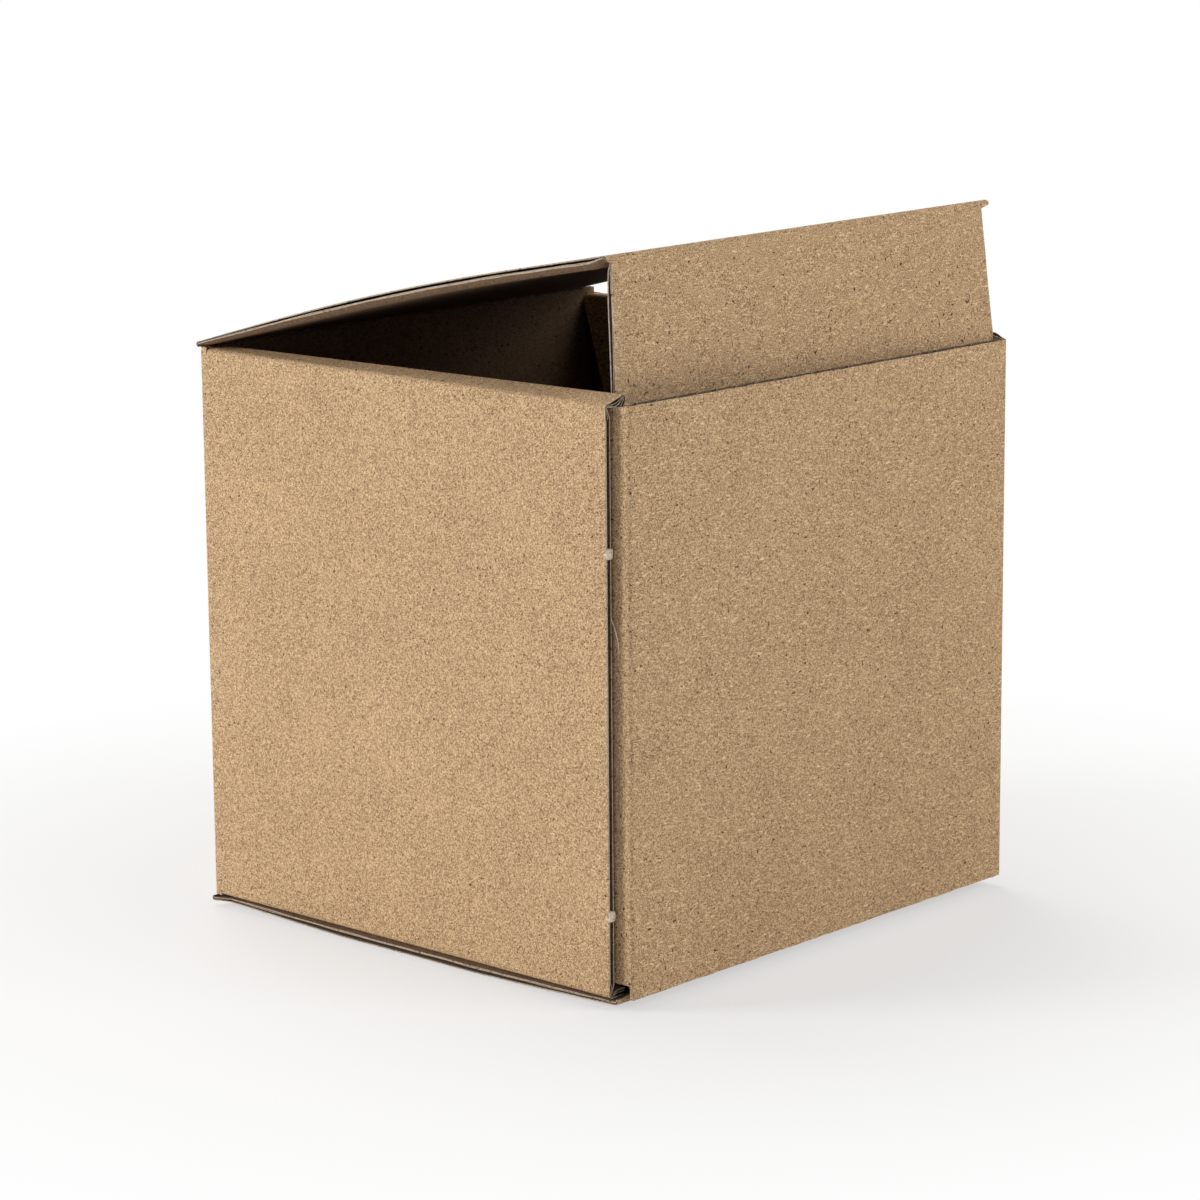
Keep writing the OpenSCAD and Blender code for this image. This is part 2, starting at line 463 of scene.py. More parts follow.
class Tube:
    """The four walls and the glue flap: one sheet folded round four corners, its flutes upright."""

    JOINT = 127.5
    JOINT_RISE = 3.0
    FADE = 1.5
    TOUCH, SLACK = 0.1, 0.05
    FINE_STEP, JUMP = 0.02, 0.1
    SEAM_COLUMNS = (0.0, 0.7, 1.5, 2.5, 4.0)

    def __init__(self) -> None:
        """Lays out the plan of the walls, from the free end of the glue flap to the seam."""
        radius = BOARD.crease
        start = (BOX.left + BOARD.thick, BOX.front + radius + BOX.glue_flap)
        runs = (
            (BOX.glue_flap, 90),
            (BOX.width - BOARD.thick - 2 * radius, 90),
            (BOX.depth - 2 * radius, 90),
            (BOX.width - 2 * radius, 90),
            (BOX.depth - radius - BOX.seam_set, 0),
        )
        self.path = FoldPath(start, -90, runs)
        self.foot = BOARD.thick + BOX.crease_gap

    def plan(self, run: np.ndarray, line: np.ndarray) -> np.ndarray:
        """Points of a line of the plan at distances along the outer face."""
        return np.stack([np.interp(run, self.path.run, line[:, k]) for k in (0, 1)], -1)

    def levels(self, run: np.ndarray) -> tuple[np.ndarray, np.ndarray, np.ndarray]:
        """Lower and upper edge of the sheet at distances along the plan.

        The side walls end where their flaps take over. The back wall reaches up and down to the creases of
        the lids. The front wall's top falls straight from left to right, and its difference from the other
        walls fades out round its corners. The right wall's edge climbs from there to its flap.

        Args:
            run: Distances along the outer face.

        Returns:
            Two arrays of heights, and how loose both edges are.
        """
        x, y = self.plan(run, self.path.outer).T
        low = np.full(len(x), self.foot)
        share, deep = np.clip(x / BOX.width + 0.5, 0, 1), y - BOX.front
        high = BOX.wall_top + mix(*FOUND.front_top, share) * np.clip(2 - deep / self.FADE, 0, 1)
        rising = (x > 0) & (deep < BOX.dust_right)
        high[rising] += FOUND.right_rise * np.clip(deep[rising] / BOX.dust_right, 0, 1)
        glued = run < BOX.glue_flap + 0.3
        low[glued] += BOX.glue_cut
        beside = (np.abs(x) > BOX.width / 2 - self.TOUCH) & ~glued
        front = BOX.front + np.where(x < 0, BOX.seam_set, BOX.dust_right) - 1e-6
        folded = beside & (y > front) & (y < BOX.back - BOX.dust_back)
        low[folded] = self.foot + self.JOINT_RISE
        high[folded] = self.JOINT
        ends = y > BOX.back - BOX.dust_back
        high[ends] = BOX.wall_top + np.where(x[ends] < 0, *FOUND.corner_top)
        behind = (y > BOX.back - self.TOUCH) & (np.abs(x) < BOX.width / 2 - BOX.lid_inset)
        high[behind] = BOX.wall_top + BOX.lid_seat - BOARD.crushed / 2 - self.SLACK
        low[behind] -= BOX.crease_gap - self.SLACK
        return low, high, 1.0 - (folded | behind)

    def sheet(self, step: float, rows: int) -> Sheet:
        """The walls on a grid, with a column on each side of every step in their edges.

        Args:
            step: Distance between columns on the straights.
            rows: Number of rows, from the lower to the upper edge.
        """
        run = self.path.run
        fine = np.arange(0, run[-1], self.FINE_STEP)
        steps = np.sum([np.abs(np.diff(level)) for level in self.levels(fine)[:2]], axis=0)
        jumps = np.flatnonzero(steps > self.JUMP)
        even, seam = np.arange(0, run[-1], step), run[-1] - np.array(self.SEAM_COLUMNS)
        places = np.unique(np.concatenate([run, even, fine[jumps], fine[jumps + 1], seam]))
        places = places[np.concatenate([[True], np.diff(places) > 0.005])]
        low, high, loose = self.levels(places)
        height = low + (high - low) * np.linspace(0, 1, rows)[:, None]
        faces = []
        for line in (self.path.outer, self.path.inner()):
            plan = np.broadcast_to(self.plan(places, line), (rows, len(places), 2))
            faces.append(np.concatenate([plan, height[..., None]], -1))
        inner = pinched(faces[0], faces[1], run[-1] - places, BOARD.raw_edge / BOARD.thick)
        across = (places - run[-1] + BOARD.pitch / 4)[None, :]
        return Sheet(faces[0], inner, across, height, loose[None, :])

    def build(self, finishes: Finishes) -> bpy.types.Object:
        """Builds the walls."""
        return board_piece("walls", self.sheet(3.0, 26), self.sheet(BOARD.pitch / 12, 2), 10, finishes)


@dataclass(frozen=True)
class SideFlap:
    """A dust flap on a side wall, creased sharply over the wall's upper or lower edge.

    Attributes:
        name: Name of the piece.
        side: -1 for the left wall, 1 for the right wall.
        upper: True at the top of the wall.
        front: Distance from the front of the carton to its front edge.
        notch: How far its front edge is cut back past its folds, in millimetres.
    """

    WHOLE = 4.4
    SAG_RUN = 2.4
    EASE_RUN = 4
    STEP_SLOPE = 2

    name: str
    side: int
    upper: bool
    front: float
    notch: float = 0.0

    def end(self, corner: float, apex: Point) -> FoldPath:
        """Section of an upper flap: up the wall, over its top to the apex and down inside.

        Args:
            corner: Height of the crease over the wall's outer face.
            apex: Distance from the wall's outer face and height of the second crease.

        Returns:
            Its outer face, from the joint with the wall to the free edge.
        """
        over, rise = apex[0], apex[1] - corner
        slope = math.degrees(math.atan2(rise, over))
        turns = (slope - 90, BOX.dust_lean - 90 - slope)
        cut = [BOARD.crease * math.tan(math.radians(abs(turn)) / 2) for turn in turns]
        runs = (
            (corner - Tube.JOINT - cut[0], turns[0]),
            (math.hypot(over, rise) - sum(cut), turns[1]),
            (BOX.dust_length, 0),
        )
        return FoldPath((0, Tube.JOINT), 90, runs, 4.0)

    def ends(self) -> tuple[FoldPath, FoldPath]:
        """Sections of the flap at its front and back edges, with as many points as each other."""
        if self.upper:
            front, back = (
                self.end(BOX.wall_top + outer, (over, BOX.wall_top + inner))
                for outer, over, inner in (FOUND.right_fold if self.side > 0 else FOUND.left_fold)
            )
            return front, back
        foot = BOARD.thick + BOX.crease_gap
        runs = ((Tube.JOINT_RISE - BOARD.crease, 90), (BOX.dust_length, 0))
        section = FoldPath((0, foot + Tube.JOINT_RISE), -90, runs, 4.0)
        return section, section

    def sheet(self, columns: int) -> Sheet:
        """The flap on a grid.

        Both of its side edges taper inwards past the folds, by the tangent of the taper. A lower flap first
        stays whole for a little, and steps in at its front edge.

        Args:
            columns: Number of columns from front to back.

        Returns:
            The sheet; its rows run from the wall to the free edge.
        """
        front, back = self.ends()
        y0, y1 = BOX.front + self.front, BOX.back - BOX.dust_back
        run = front.run[:, None]
        folds = front.run[-1] - BOX.dust_length
        free = np.clip((run - folds) / BOX.dust_length, 0, 1)
        taper = BOX.dust_length * math.tan(math.radians(BOX.dust_taper)) * free
        cut = self.notch * np.clip(run / folds - 0.3, 0, 1)
        if not self.upper:
            past = run - folds - self.WHOLE
            cut = np.clip(past * self.STEP_SLOPE, 0, BOX.taper_step) * (1 - free)
            taper = taper * np.clip(past / self.EASE_RUN, 0, 1)
        share = np.linspace(0, 1, columns)[None, :]
        y = mix(y0 + taper + cut, y1 - taper, share)
        where = ((y - y0) / (y1 - y0))[..., None]
        sag = FOUND.right_sag if self.upper and self.side > 0 else 0.0
        sunk = sag * where[..., 0] * np.clip(run / self.SAG_RUN, 0, 1)
        grids = []
        for a, b in ((front.outer, back.outer), (front.inner(), back.inner())):
            flat = mix(a[:, None], b[:, None], where)
            x = self.side * (BOX.width / 2 - flat[..., 0])
            grids.append(np.stack([x, y, flat[..., 1] - sunk], -1))
        inner = grids[1]
        if self.side < 0:
            inner = pinched(grids[0], grids[1], y - y[:, :1], BOARD.raw_edge / BOARD.thick)
        return Sheet(grids[0], inner, y, run, np.clip(run / self.EASE_RUN, 0, 1))

    def build(self, seed: int, finishes: Finishes) -> bpy.types.Object:
        """Builds the flap."""
        flutes = int((BOX.depth - self.front - BOX.dust_back) / BOARD.pitch * 10)
        return board_piece(self.name, self.sheet(60), self.sheet(flutes), seed, finishes)


@dataclass(frozen=True)
class LidForm:
    """What tells the two lids apart, in millimetres and degrees.

    Attributes:
        name: Name of the piece.
        body: Body that it moves with.
        node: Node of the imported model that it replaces.
        bow: How high the panel bows.
        crease: Thickness of the board at the front crease.
        belly: Share of a full sine at which the bow is cut flat.
        lean: How far the tuck flap leans in from a right angle.
        tuck: Length of the tuck flap.
        tuck_left: Left edge of the tuck flap.
        tuck_right: Right edge of the tuck flap.
        hinge: Distance to the back and height of the hinge.
        ajar: How far the lid stands open.
        over: 1 for the lid on top, -1 for the one at the foot.
        skewed: Whether the lid has turned, twisted and lost its crisp edge, as the one on top has.
    """

    name: str
    body: str
    node: str
    bow: float
    crease: float
    belly: float
    lean: float
    tuck: float
    tuck_left: float
    tuck_right: float
    hinge: Point
    ajar: float
    over: int
    skewed: bool


class Lid:
    """A bowed panel, crushed thin at its hinge and at its front crease, with a tuck flap folded there."""

    BEAD_ROWS = 9
    PANEL_ROWS = 52
    CREASE_ROWS = 8
    SHOULDER = 30.2
    RECOVERY = 4
    BEVELLED = (0.5, 1.7)
    PRESSED = (0.62, 4.0)

    def __init__(self, form: LidForm) -> None:
        """Takes the form of the lid."""
        self.form = form
        self.run = BOX.depth - BOARD.crushed / 2 - BOARD.thick - BOX.flap_gap - form.crease
        shoulder = np.array([self.SHOULDER, self.SHOULDER + 0.8]) if form.skewed else np.array([])
        self.drop = np.unique(np.concatenate([np.linspace(0, form.tuck, 16)[1:], [0.7, 1.5], shoulder]))

    def section(self) -> tuple[np.ndarray, np.ndarray]:
        """Outer and inner face of the lid, seen along its hinge, with the hinge at the origin.

        The outer liner first goes half round the hinge. The panel's outer face rises as a sine, cut flat at
        the belly. Its thickness is that of the crushed board at the hinge, swells to the full board and is
        pinched again just before the front crease. There the outer face goes round an arc about the inner
        corner, and the tuck flap runs down from it, leaning inwards.

        Returns:
            Two arrays (rows, 2) of distance to the back and height.
        """
        f = self.form
        radius = BOARD.crushed / 2
        turn = np.linspace(-np.pi / 2, np.pi / 2, self.BEAD_ROWS, endpoint=False)
        bead = radius * np.stack([np.cos(turn), np.sin(turn)], -1)
        root = np.broadcast_to([0.0, -radius], bead.shape) + bead * [0.03, 0.0] - [0.0, 0.01]
        share = self.shares()[self.BEAD_ROWS : -self.CREASE_ROWS]
        swell = np.minimum(1, np.sin(np.pi * share) / f.belly)
        outer = np.stack([-self.run * share, radius + f.bow * swell], -1)
        full = np.minimum(1, np.sin(np.pi * np.minimum(share, 0.5)) / f.belly)
        thick = mix(BOARD.crushed, BOARD.thick, full if f.skewed else swell)
        thick = mix(f.crease, thick, ease((1 - share) * self.run / self.RECOVERY))
        inner = outer - np.stack([0 * thick, thick], -1)
        fold = inner[-1]
        lean = math.radians(f.lean)
        angle = math.pi / 2 + (math.pi / 2 + lean) * np.linspace(0, 1, self.CREASE_ROWS + 1)[1:]
        out = np.stack([np.cos(angle), np.sin(angle)], -1)
        arc, elbow = fold + f.crease * out, fold + 0.06 * out + [0.06, -0.06]
        across = np.array([math.cos(lean), math.sin(lean)])
        down = np.array([math.sin(lean), -math.cos(lean)])
        drop = self.drop[:, None]
        face = fold - f.crease * across + down * drop
        back = face + across * mix(f.crease, BOARD.thick, ease(drop / self.RECOVERY))
        return np.concatenate([bead, outer, arc, face]), np.concatenate([root, inner, elbow, back])

    def edges(self) -> tuple[np.ndarray, np.ndarray]:
        """Left and right edge of each row.

        The panel is as wide as the box less its insets. The ends of the bottom lid's hinge crease flare out
        by the square of the share of the reach that is left. The tuck flap is narrower, and its free corners
        are quarter circles: at a height h above the free end, the edge is set in by r - sqrt(r2 - (r - h)2).
        On the lid that stands ajar it starts wider at its crease, and has a shoulder at the right.

        Returns:
            Two arrays with one value for each row.
        """
        f = self.form
        above = np.clip(BOX.tuck_round - (f.tuck - self.drop), 0, BOX.tuck_round * 0.999)
        inset = BOX.tuck_round - np.sqrt(BOX.tuck_round**2 - above**2)
        left, right = f.tuck_left + inset, f.tuck_right - inset
        wide = BOX.width / 2 - BOX.lid_inset + 0 * self.shares()
        if f.skewed:
            down = np.clip(self.drop / self.SHOULDER, 0, 1)
            left -= FOUND.tuck_wide * (1 - down)
            right += FOUND.tuck_ear * down * (self.drop < self.SHOULDER + 0.1)
        else:
            wide += FOUND.flare * (1 - np.clip(self.shares() * self.run / FOUND.flare_reach, 0, 1)) ** 2
        aside = self.aside()[: len(wide)]
        return np.concatenate([aside - wide, left]), np.concatenate([aside + wide, right])

    def shares(self) -> np.ndarray:
        """Share of the way from the hinge to the front crease, for each row before the tuck flap.

        The rows of the panel are closer together towards the crease: the share is one less the power 1.5 of
        what is left of the rows.
        """
        rows = np.arange(self.BEAD_ROWS + self.PANEL_ROWS + self.CREASE_ROWS) - self.BEAD_ROWS
        return 1 - (1 - np.clip(rows / (self.PANEL_ROWS - 1), 0, 1)) ** 1.5

    def aside(self) -> np.ndarray:
        """How far to the right each row has moved, on the lid that has turned a little in its plane."""
        shares = np.concatenate([self.shares(), np.ones(len(self.drop))])
        return mix(*FOUND.lid_turn, shares) if self.form.skewed else 0 * shares

    def skew(self, share: np.ndarray) -> np.ndarray:
        """How far each point of the lid that stands ajar has moved to the back.

        The front crease has moved forwards a little at the left. The panel follows it by the cube of its
        share of the way from the hinge. Down the tuck flap the left side moves to the back, and the right
        side forwards until it rests against the front wall.

        Args:
            share: Places of the columns, 0 at the left and 1 at the right.

        Returns:
            Array (rows, columns) in millimetres.
        """
        crease, foot = mix(*FOUND.crease_back, share), mix(*FOUND.foot_back, share)
        tuck = mix(crease, foot, np.clip(self.drop / self.SHOULDER, 0, 1)[:, None])
        return np.concatenate([crease * self.shares()[:, None] ** 3, tuck])

    def sheet(self, columns: int) -> Sheet:
        """The lid on a grid, in its place on the box.

        Args:
            columns: Number of columns from left to right.

        Returns:
            The sheet; its rows run from the hinge to the free edge of the tuck flap.
        """
        f = self.form
        even = np.linspace(0, 1, columns)
        share = np.unique(np.concatenate([even, [0.006, 0.012, 0.02, 0.98, 0.988, 0.994]]))[None, :]
        left, right = self.edges()
        x = mix(left[:, None], right[:, None], share)
        faces = self.section()
        run = np.concatenate([[0], np.cumsum(np.linalg.norm(np.diff(faces[0], axis=0), axis=1))])[:, None]
        angle = math.radians(f.ajar)
        moved = self.skew(share) if f.skewed else 0 * x
        grids = []
        for y, z in (face.T[..., None] for face in faces):
            back = y * math.cos(angle) + z * math.sin(angle) + moved
            up = z * math.cos(angle) - y * math.sin(angle) + 0 * x
            grids.append(np.stack([x, f.hinge[0] + back, f.hinge[1] + f.over * up], -1))
        bevelled = (np.arange(len(left)) < len(self.shares()))[:, None] & f.skewed
        kept, reach = (np.where(bevelled, *pair) for pair in zip(self.BEVELLED, self.PRESSED))
        away = np.minimum(x - left[:, None], right[:, None] - x)
        inner = pinched(grids[0], grids[1], away, kept, reach)
        loose = np.clip((run - 2) / self.RECOVERY, 0, 1)
        return Sheet(grids[0], inner, x - self.aside()[:, None], run, loose)

    def build(self, seed: int, finishes: Finishes) -> bpy.types.Object:
        """Builds the lid."""
        flutes = int(BOX.width / BOARD.pitch * 10)
        return board_piece(self.form.name, self.sheet(60), self.sheet(flutes), seed, finishes)


class TornPaper:
    """Torn paper on the raw edge of the seam: two nicks and a loose fibre, in millimetres."""

    NICK_HALF = (0.95, 0.6, BOX.nick_height / 2)
    SQUARED, PULLED = 0.35, 0.08
    FIBRE_ENDS = ((1.6, 4.6, 85.4), (1.9, 2.6, 77.6))
    FIBRE_RADIUS, FIBRE_BOW, FIBRE_CORE = 0.1, 0.5, 0.3

    def nick(self, parts: MeshParts, level: float, seed: int) -> None:
        """Adds a tab of torn paper: a ball squared off to a block, and pulled about by smooth noise.

        Args:
            parts: Shells to add to.
            level: Height of its middle.
            seed: Start of the random draw.
        """
        rows, cols = 15, 21
        polar = np.linspace(0.05, np.pi - 0.05, rows)[:, None]
        turn = np.linspace(0, 2 * np.pi, cols)[None, :]
        waves = (np.sin(polar) * np.cos(turn), np.sin(polar) * np.sin(turn), np.cos(polar) + 0 * turn)
        ball = np.stack([np.sign(wave) * np.abs(wave) ** self.SQUARED for wave in waves], -1)
        rough = 1 + self.PULLED * smooth_noise(rows * cols, 2, seed).reshape(rows, cols, 1)
        rough[:, -1] = rough[:, 0]
        half = np.array(self.NICK_HALF)
        centre = np.array([BOX.left + half[0], BOX.front + BOX.seam_set + 0.15, level])
        outer = centre + ball * half * rough
        chart = np.zeros((rows, cols, 2))
        parts.shell(outer, mix(outer, centre, 0.3), chart, (Ply.TORN,) * 3)

    def fibre(self, parts: MeshParts) -> None:
        """Adds the loose fibre: a thin tube along a shallow curve."""
        along = np.linspace(0, 1, 16)
        ends = np.array([BOX.left, BOX.front, 0]) + self.FIBRE_ENDS
        line = mix(ends[0], ends[1], along[:, None])
        line[:, 1] -= self.FIBRE_BOW * np.sin(np.pi * along)
        turn = np.linspace(0, 2 * np.pi, 7)
        ring = np.stack([np.cos(turn), np.sin(turn), 0 * turn], -1)
        radius = self.FIBRE_RADIUS * (1.1 - along[:, None, None] ** 3)
        outer = line[:, None] + ring * radius
        inner = line[:, None] + ring * radius * self.FIBRE_CORE
        parts.shell(outer, inner, np.zeros((16, 7, 2)), (Ply.TORN,) * 3)

    def build(self, finishes: Finishes) -> bpy.types.Object:
        """Builds the nicks and the fibre as one piece."""
        parts = MeshParts()
        for seed, level in enumerate(BOX.nick_levels):
            self.nick(parts, level, 60 + seed)
        self.fibre(parts)
        return parts.piece("torn_paper", finishes)


class Value:
    """A number in a shader: a socket whose arithmetic adds Math nodes."""

    def __init__(self, shader: "Shader", socket: bpy.types.NodeSocket) -> None:
        """Wraps a socket of the shader."""
        self.shader, self.socket = shader, socket

    def apply(self, operation: str, *others: "Value | float", clamp: bool = False) -> "Value":
        """A Math node on this value and others.

        Args:
            operation: The node's operation.
            others: Its further inputs.
            clamp: Whether the result is held in 0..1.

        Returns:
            The node's output.
        """
        settings = {"operation": operation, "use_clamp": clamp}
        return self.shader.node("Math", settings, dict(enumerate((self, *others))))["Value"]

    def __add__(self, other: "Value | float") -> "Value":
        """Sum."""
        return self.apply("ADD", other)

    def __mul__(self, other: "Value | float") -> "Value":
        """Product."""
        return self.apply("MULTIPLY", other)

    def __sub__(self, other: "Value | float") -> "Value":
        """Difference."""
        return self.apply("SUBTRACT", other)

    def __rsub__(self, other: float) -> "Value":
        """Difference from a number."""
        return self * -1 + other

    def over(self, low: float, high: float) -> "Value":
        """0 below low, 1 above high, and straight between them."""
        return ((self - low) * (1 / (high - low))).apply("ADD", 0.0, clamp=True)


class Outputs:
    """The outputs of a node, by name."""

    def __init__(self, shader: "Shader", node: bpy.types.Node) -> None:
        """Wraps a node of the shader."""
        self.shader, self.raw = shader, node

    def __getitem__(self, name: str) -> Value:
        """The output of that name."""
        return Value(self.shader, self.raw.outputs[name])


class Shader:
    """The node tree of one material or world."""

    def __init__(self, owner: bpy.types.Material | bpy.types.World) -> None:
        """Empties the owner's tree."""
        owner.use_nodes = True
        self.tree = owner.node_tree
        self.tree.nodes.clear()

    def node(self, kind: str, settings: dict | None = None, values: dict | None = None) -> Outputs:
        """Adds a node.

        Args:
            kind: Type of the node, without the prefix that all share.
            settings: Attributes, set first.
            values: Numbers, colours or links for its inputs, by name or place.

        Returns:
            Its outputs.
        """
        made = self.tree.nodes.new("ShaderNode" + kind)
        for name, value in (settings or {}).items():
            setattr(made, name, value)
        for name, value in (values or {}).items():
            if isinstance(value, Value):
                self.tree.links.new(value.socket, made.inputs[name])
            else:
                made.inputs[name].default_value = value
        return Outputs(self, made)

    def blend(self, share: Value | float, a: Value | tuple, b: Value | tuple) -> Value:
        """A Mix node on two colours: a at share 0, b at share 1."""
        made = self.node("Mix", {"data_type": "RGBA"}, {0: share, 6: a, 7: b})
        return Value(self, made.raw.outputs[2])

    def noise(self, where: Value, scale: float, detail: float = 2.0, rough: float = 0.5) -> Value:
        """A Noise Texture's value."""
        values = {"Vector": where, "Scale": scale, "Detail": detail, "Roughness": rough}
        return self.node("TexNoise", {}, values)["Fac"]


def rgba(*levels: float) -> tuple[float, float, float, float]:
    """An opaque linear colour from 0..255 display levels."""
    return (*((level / 255) ** 2.2 for level in levels), 1.0)


@dataclass(frozen=True)
class Kraft:
    """Unbleached kraft paper: mottled, with pale fibres and dark specks.

    Attributes:
        name: Name of the material.
        base: Colour that every tone is mixed with.
        pale: Palest mottling; the fibres are a little paler.
        dark: Darkest mottling; the specks are much darker.
        mottle: Contrast of the mottling.
        flecks: How strongly the fibres show.
        rough: Roughness.
        relief: Strength of the bump.
    """

    CLOUD, PATCH, GRAIN, FIBRE, SPECK = 55, 700, 3600, 2400, 1350
    STRANDS = ((0.5, 0.0), (1.7, 3.0), (2.6, 7.0))
    FIBRE_RAMP, SPECK_RAMP = (0.66, 0.74), (0.235, 0.2)
    INK, BRIGHT = 0.35, 1.15

    name: str
    base: tuple[float, float, float, float]
    pale: tuple[float, float, float, float]
    dark: tuple[float, float, float, float]
    mottle: float = 0.5
    flecks: float = 0.6
    rough: float = 0.88
    relief: float = 0.25

    def material(self) -> bpy.types.Material:
        """Makes the material.

        Three sizes of noise make the mottling and the relief. Fibres are the peaks of noise drawn out along
        three directions, and specks the pits of a coarser noise. The flutes show through the liner as a faint
        sine in the relief.
        """
        made = bpy.data.materials.new(self.name)
        s = Shader(made)
        ink = (*(self.INK * level for level in self.dark[:3]), 1.0)
        bright = (*(min(1.0, self.BRIGHT * level) for level in self.pale[:3]), 1.0)
        where = s.node("TexCoord")["Object"]
        cloud = s.noise(where, self.CLOUD)
        patch = s.noise(where, self.PATCH)
        grain = s.noise(where, self.GRAIN, rough=0.6)
        tone = ((cloud - 0.5) * 0.35 + (patch - 0.5) * 0.6 + (grain - 0.5) * 6.2) * self.mottle
        colour = s.blend(tone.over(-0.5, 0.5), self.dark, self.pale)
        colour = s.blend(0.2, colour, self.base)
        for turn, seed in self.STRANDS:
            strand = s.node("Mapping", {}, {
                "Vector": where, "Location": (seed, seed, seed),
                "Rotation": (0.3 * turn, turn, 0.5 * turn), "Scale": (0.22, 1.0, 1.0),
            })["Vector"]
            fibre = s.noise(strand, self.FIBRE, 1).over(*self.FIBRE_RAMP)
            colour = s.blend(fibre * self.flecks, colour, bright)
        speck = s.noise(where, self.SPECK, 0).over(*self.SPECK_RAMP)
        colour = s.blend(speck * 0.9, colour, ink)
        chart = s.node("UVMap", {"uv_map": CHART})["UV"]
        wash = (s.node("SeparateXYZ", {}, {0: chart})["X"] * math.tau).apply("SINE")
        bump = s.node("Bump", {}, {
            "Height": grain * 0.7 + patch * 0.3 + wash * 0.07, "Strength": self.relief, "Distance": 0.0002,
        })["Normal"]
        skin = s.node("BsdfPrincipled", {}, {
            "Base Color": colour, "Roughness": self.rough, "Specular IOR Level": 0.25, "Normal": bump,
        })["BSDF"]
        s.node("OutputMaterial", {}, {"Surface": skin})
        return made


def finishes() -> list[bpy.types.Material]:
    """Makes the materials of the board, in the order of the plies."""
    papers = (
        Kraft("kraft_outer_liner", rgba(182, 145, 108), rgba(246, 211, 166), rgba(98, 69, 45)),
        # The inner liner is darker than the outer liner: painted shade for the carton's dim inside, not a
        # different paper.
        Kraft("kraft_inner_liner_painted_shade", rgba(126, 102, 80), rgba(160, 132, 105), rgba(86, 67, 52), flecks=0.4),
        Kraft("fluted_medium", rgba(116, 98, 82), rgba(150, 130, 110), rgba(76, 60, 50), flecks=0.3),
        Kraft("raw_paper_edge", rgba(186, 168, 146), rgba(216, 200, 180), rgba(128, 108, 90), flecks=0.5),
        Kraft("torn_paper", rgba(224, 210, 190), rgba(250, 240, 226), rgba(176, 156, 132), 0.4, 0.4),
    )
    return [paper.material() for paper in papers]


@dataclass(frozen=True)
class Lamp:
    """A square area lamp: its place and side in metres, its power in watts and its linear colour."""

    name: str
    place: tuple[float, float, float]
    size: float
    power: float
    colour: tuple[float, float, float]


def stand(made: bpy.types.Object, where: Sequence[float], *axes: np.ndarray) -> None:
    """Puts an object in its place, with its own X, Y and Z along three axes."""
    made.matrix_world = Matrix.Translation(where) @ Matrix(np.stack(axes, -1).tolist()).to_4x4()


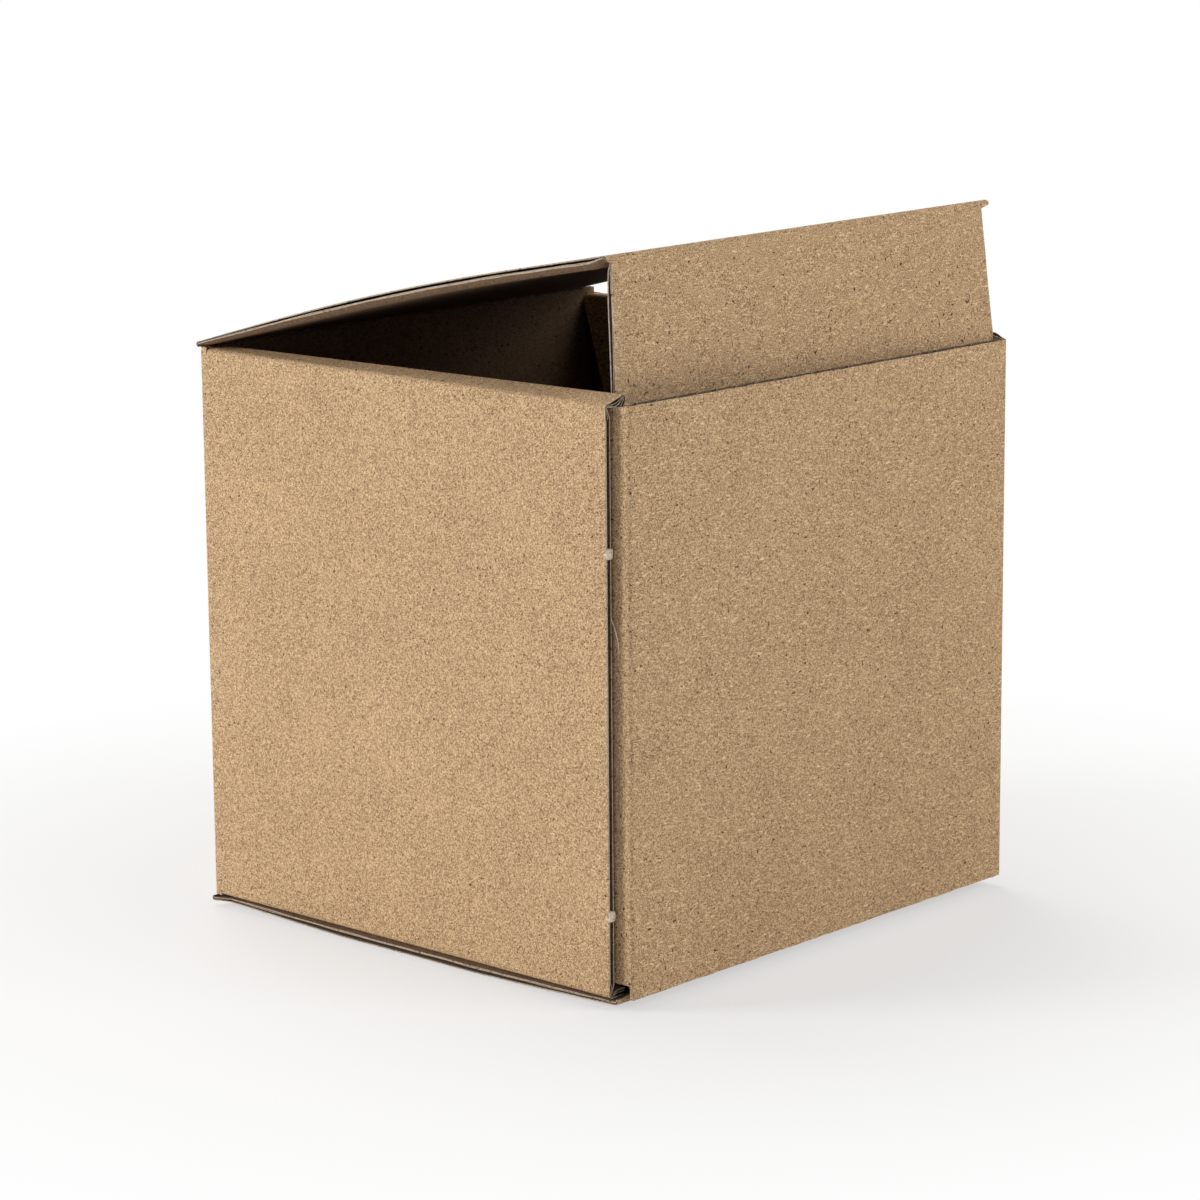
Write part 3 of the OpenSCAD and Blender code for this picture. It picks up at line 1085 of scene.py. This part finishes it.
class Studio:
    """Floor, lights and camera."""

    EYE = (-0.6812, -0.6216, 0.2682)
    YAW, PITCH, ROLL = 47.508, 12.097, -0.464
    FOCAL_PIXELS, PHOTO_PIXELS, SENSOR = 4094.5, 1200, 36.0
    AIM = (0.0, 0.0, 0.07)
    LAMPS = (
        Lamp("key", (-1.4, 1.25, 0.62), 0.7, 26.5, (1.0, 0.99, 0.97)),
        Lamp("fill", (0.5, -1.6, 1.05), 1.2, 16.5, (1.0, 0.99, 0.97)),
        Lamp("top", (0.3, 0.9, 1.6), 1.0, 12.0, (1.0, 0.98, 0.95)),
    )
    FLOOR_REACH, FLOOR_LEVEL = 6.0, -0.00005
    FLOOR_FADE = (0.09, 0.24)
    SHADOW = 0.45

    def camera(self) -> None:
        """Sets the camera where the photograph was taken from: yaw about +Z, pitch down, then roll."""
        yaw, pitch, roll = (math.radians(angle) for angle in (self.YAW, self.PITCH, self.ROLL))
        level = math.cos(pitch)
        ahead = np.array([math.sin(yaw) * level, math.cos(yaw) * level, -math.sin(pitch)])
        right = np.array([math.cos(yaw), -math.sin(yaw), 0.0])
        up = np.cross(right, ahead)
        tilted = math.cos(roll) * right + math.sin(roll) * up
        upright = math.cos(roll) * up - math.sin(roll) * right
        lens = bpy.data.cameras.new("camera")
        lens.sensor_width = self.SENSOR
        lens.lens = self.FOCAL_PIXELS * self.SENSOR / self.PHOTO_PIXELS
        lens.clip_start, lens.clip_end = 0.05, 50
        camera = linked("camera", lens)
        stand(camera, self.EYE, tilted, upright, -ahead)
        bpy.context.scene.camera = camera

    def lamp(self, form: Lamp) -> None:
        """Adds a lamp that looks at the middle of the carton."""
        light = bpy.data.lights.new(form.name, "AREA")
        light.size, light.energy, light.color = form.size, form.power, form.colour
        back = unit(np.array(form.place) - np.array(self.AIM))
        right = unit(np.cross([0, 0, 1], back))
        stand(linked(form.name, light), form.place, right, np.cross(back, right), back)

    def world(self) -> None:
        """A dim white surround that rays from the camera, also through clear parts, see as full white."""
        sky = bpy.data.worlds.new("surround")
        bpy.context.scene.world = sky
        s = Shader(sky)
        path = s.node("LightPath")
        seen = path["Is Camera Ray"].apply("MAXIMUM", path["Is Transmission Ray"])
        level = seen * 0.75 + 0.25
        light = s.node("Background", {}, {"Color": (1, 1, 1, 1), "Strength": level})["Background"]
        s.node("OutputWorld", {}, {"Surface": light})

    def floor(self) -> None:
        """A pale floor that takes the shadow near the carton and fades to white further out."""
        mesh = bpy.data.meshes.new("floor")
        far, low = self.FLOOR_REACH, self.FLOOR_LEVEL
        corners = [(-far, -far, low), (far, -far, low), (far, far, low), (-far, far, low)]
        mesh.from_pydata(corners, [], [(0, 1, 2, 3)])
        floor = linked("floor", mesh)
        made = bpy.data.materials.new("pale_floor")
        s = Shader(made)
        where = s.node("TexCoord")["Object"]
        distance = s.node("VectorMath", {"operation": "LENGTH"}, {0: where})["Value"]
        near = 1 - distance.over(*self.FLOOR_FADE)
        seen = s.node("LightPath")["Is Camera Ray"]
        matt = s.node("BsdfDiffuse", {}, {"Color": (0.86, 0.86, 0.86, 1)})["BSDF"]
        white = s.node("Emission", {}, {"Color": (1, 1, 1, 1), "Strength": 1.0})["Emission"]
        faded = seen * (1 - near * self.SHADOW)
        both = s.node("MixShader", {}, {"Fac": faded, 1: matt, 2: white})["Shader"]
        s.node("OutputMaterial", {}, {"Surface": both})
        mesh.materials.append(made)

    def build(self) -> None:
        """Builds the studio."""
        self.camera()
        self.world()
        self.floor()
        for lamp in self.LAMPS:
            self.lamp(lamp)
        bpy.context.scene.view_settings.view_transform = "Standard"


def place(piece: bpy.types.Object, body: str, nodes: Sequence[str] = ()) -> None:
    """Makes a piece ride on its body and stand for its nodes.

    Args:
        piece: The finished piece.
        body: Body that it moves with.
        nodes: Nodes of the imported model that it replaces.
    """
    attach(piece, body)
    if nodes:
        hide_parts(*nodes)
    log.info("%s: %d faces on %s", piece.name, len(piece.data.polygons), body)


def lids() -> tuple[Lid, Lid]:
    """The lid and the bottom lid, from the sizes of the carton."""
    slot = BOARD.thick + BOX.flap_gap
    half, radius = BOX.width / 2, BOARD.crushed / 2
    sag = BOARD.thick - BOARD.crushed
    edge = 2 * BOARD.thick + BOARD.fold + BOX.flap_gap
    top = LidForm(
        name="lid_board", body="lid", node="lid", bow=BOX.lid_bow, crease=BOX.lid_crease, belly=1.0,
        lean=BOX.lid_ajar, tuck=BOX.tuck_length, tuck_left=-half + BOX.tuck_left, tuck_right=half - slot,
        hinge=(BOX.back - radius, BOX.wall_top + BOX.lid_seat), ajar=BOX.lid_ajar, over=1, skewed=True,
    )
    bottom = LidForm(
        name="bottom_lid_board", body="bottom_lid", node="bottom_lid", bow=sag, crease=BOARD.crushed,
        belly=BOX.belly, lean=BOX.bottom_lean, tuck=BOX.bottom_tuck, tuck_left=-half + edge,
        tuck_right=half - edge, hinge=(BOX.back - radius, sag + radius), ajar=0.0, over=-1, skewed=False,
    )
    return Lid(top), Lid(bottom)


def main() -> None:
    """Builds the carton's pieces in order, then the studio."""
    logging.basicConfig(level=logging.INFO, format="%(message)s")
    papers = finishes()
    place(Tube().build(papers), "box", ["box_body"])
    notch = BOARD.thick * 2 + BOX.flap_gap + BOX.notch_gap - BOX.dust_right
    flaps = (
        SideFlap("upper_left_flap", -1, True, BOX.seam_set),
        SideFlap("upper_right_flap", 1, True, BOX.dust_right, notch),
        SideFlap("lower_left_flap", -1, False, BOX.seam_set),
        SideFlap("lower_right_flap", 1, False, BOX.dust_right),
    )
    for seed, flap in enumerate(flaps):
        place(flap.build(100 + 30 * seed, papers), "box")
    for seed, lid in enumerate(lids()):
        place(lid.build(300 + 30 * seed, papers), lid.form.body, [lid.form.node])
    place(TornPaper().build(papers), "box")
    Studio().build()


if __name__ == "__main__":
    main()
